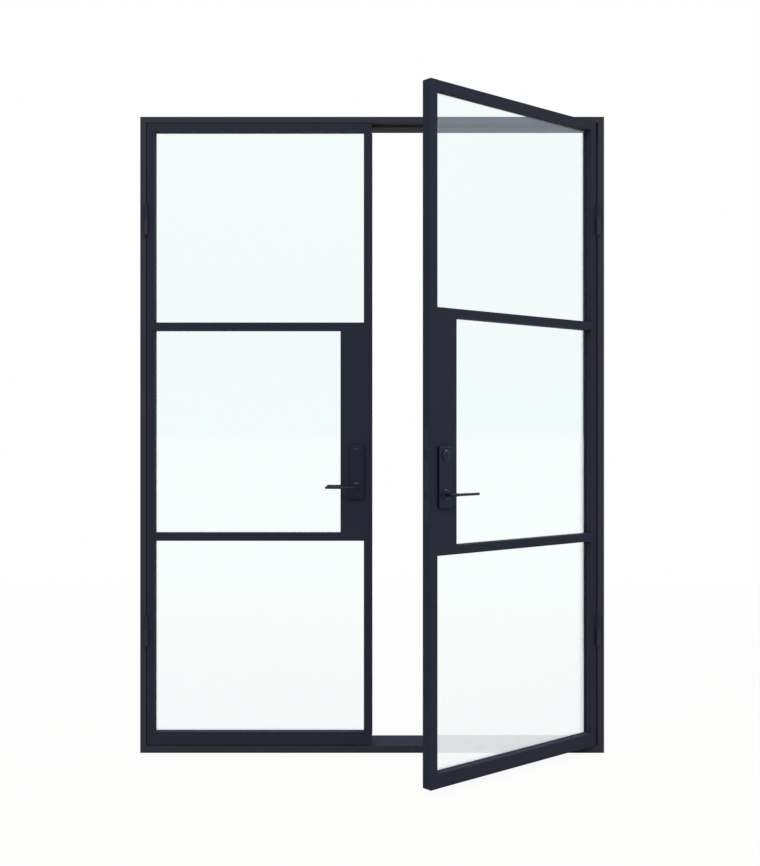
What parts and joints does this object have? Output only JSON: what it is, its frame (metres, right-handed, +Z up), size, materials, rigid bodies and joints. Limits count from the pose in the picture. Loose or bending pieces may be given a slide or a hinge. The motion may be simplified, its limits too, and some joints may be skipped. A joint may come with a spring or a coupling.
{
  "type": "french doors",
  "caption": "French doors: slim dark steel leaves with clear panes on barrel hinges in a hollow steel frame, with lever handles, latch and bolts.",
  "frame": {"origin": "under the middle of the sill, half way through the frame's depth", "axes": "+Z up, +X to the right seen from the opening side, +Y away from that side"},
  "size_m": [1.75, 0.7053, 2.4],
  "materials": {
    "frame_steel": "satin powder coat",
    "leaf_steel": "satin powder coat",
    "handle_black": "matt black coat",
    "glass": "clear float",
    "rubber": "matt",
    "bare_steel": "zinc plated",
    "washer_nylon": "black nylon"
  },
  "bodies": {
    "frame": {"bolt_keeps": "bare_steel", "door_stops": "frame_steel", "frame_head": "frame_steel", "frame_jamb_left": "frame_steel", "frame_jamb_right": "frame_steel", "frame_knuckles": "frame_steel", "frame_seals": "rubber", "frame_sill": "frame_steel", "hinge_pins": "bare_steel", "hinge_washers": "washer_nylon"},
    "left_leaf": {"left_bottom_pane": "glass", "left_bottom_rail": "leaf_steel", "left_cylinder_blank": "handle_black", "left_glazing_beads": "leaf_steel", "left_glazing_gaskets": "rubber", "left_hinge_stile": "leaf_steel", "left_leaf_knuckles": "leaf_steel", "left_leaf_seals": "rubber", "left_lock_case": "handle_black", "left_lock_panel": "leaf_steel", "left_lock_stile": "leaf_steel", "left_lower_muntin": "leaf_steel", "left_middle_pane": "glass", "left_plate_back": "handle_black", "left_plate_front": "handle_black", "left_plate_screws": "handle_black", "left_top_pane": "glass", "left_top_rail": "leaf_steel", "left_upper_muntin": "leaf_steel"},
    "left_handle": {"left_lever_back": "handle_black", "left_lever_front": "handle_black", "left_spindle": "bare_steel"},
    "left_top_bolt": {"left_top_bolt": "bare_steel"},
    "left_bottom_bolt": {"left_bottom_bolt": "bare_steel"},
    "right_leaf": {"right_bottom_pane": "glass", "right_bottom_rail": "leaf_steel", "right_cylinder": "handle_black", "right_glazing_beads": "leaf_steel", "right_glazing_gaskets": "rubber", "right_hinge_stile": "leaf_steel", "right_leaf_knuckles": "leaf_steel", "right_leaf_seals": "rubber", "right_lock_case": "handle_black", "right_lock_panel": "leaf_steel", "right_lock_stile": "leaf_steel", "right_lower_muntin": "leaf_steel", "right_middle_pane": "glass", "right_plate_back": "handle_black", "right_plate_front": "handle_black", "right_plate_screws": "handle_black", "right_top_pane": "glass", "right_top_rail": "leaf_steel", "right_upper_muntin": "leaf_steel"},
    "right_handle": {"right_lever_back": "handle_black", "right_lever_front": "handle_black", "right_spindle": "bare_steel"},
    "right_latch": {"right_latch_bolt": "handle_black"},
    "right_turn": {"right_turn": "handle_black"},
    "right_deadbolt": {"right_deadbolt": "handle_black"}
  },
  "joints": [
    {"name": "left_leaf_swing", "type": "hinge", "parent": "frame", "child": "left_leaf", "pos_m": [-0.85175, -0.085, 0], "axis": [0, 0, -1], "range_deg": [0, 165]},
    {"name": "right_leaf_swing", "type": "hinge", "parent": "frame", "child": "right_leaf", "pos_m": [0.85175, -0.085, 0], "axis": [0, 0, 1], "range_deg": [-40.3, 124.7]},
    {"name": "left_lever_turn", "type": "hinge", "parent": "left_leaf", "child": "left_handle", "pos_m": [-0.0575, -0.055, 1.003], "axis": [0, 1, 0], "range_deg": [0, 90]},
    {"name": "left_top_bolt_slide", "type": "slide", "parent": "left_leaf", "child": "left_top_bolt", "axis": [0, 0, 1], "range_m": [0, 0.02]},
    {"name": "left_bottom_bolt_slide", "type": "slide", "parent": "left_leaf", "child": "left_bottom_bolt", "axis": [0, 0, -1], "range_m": [0, 0.02]},
    {"name": "right_lever_turn", "type": "hinge", "parent": "right_leaf", "child": "right_handle", "pos_m": [0.2266, -0.57583, 1.003], "axis": [-0.6468, 0.7627, 0], "range_deg": [0, 45], "stiffness_Nm_per_rad": 1.5, "springref_deg": -20.05},
    {"name": "right_latch_slide", "type": "slide", "parent": "right_leaf", "child": "right_latch", "axis": [-0.7627, -0.6468, 0], "range_m": [0, 0.011], "stiffness_N_per_m": 80},
    {"name": "right_turn_turn", "type": "hinge", "parent": "right_leaf", "child": "right_turn", "pos_m": [0.2266, -0.57583, 1.133], "axis": [-0.6468, 0.7627, 0], "range_deg": [0, 90]},
    {"name": "right_deadbolt_slide", "type": "slide", "parent": "right_leaf", "child": "right_deadbolt", "axis": [-0.7627, -0.6468, 0], "range_m": [0, 0.02]}
  ],
  "couplings": [
    {"joint": "left_top_bolt_slide", "follows": "left_lever_turn", "m_per_rad": 0.012732},
    {"joint": "left_bottom_bolt_slide", "follows": "left_lever_turn", "m_per_rad": 0.012732},
    {"joint": "right_deadbolt_slide", "follows": "right_turn_turn", "m_per_rad": 0.012732}
  ]
}
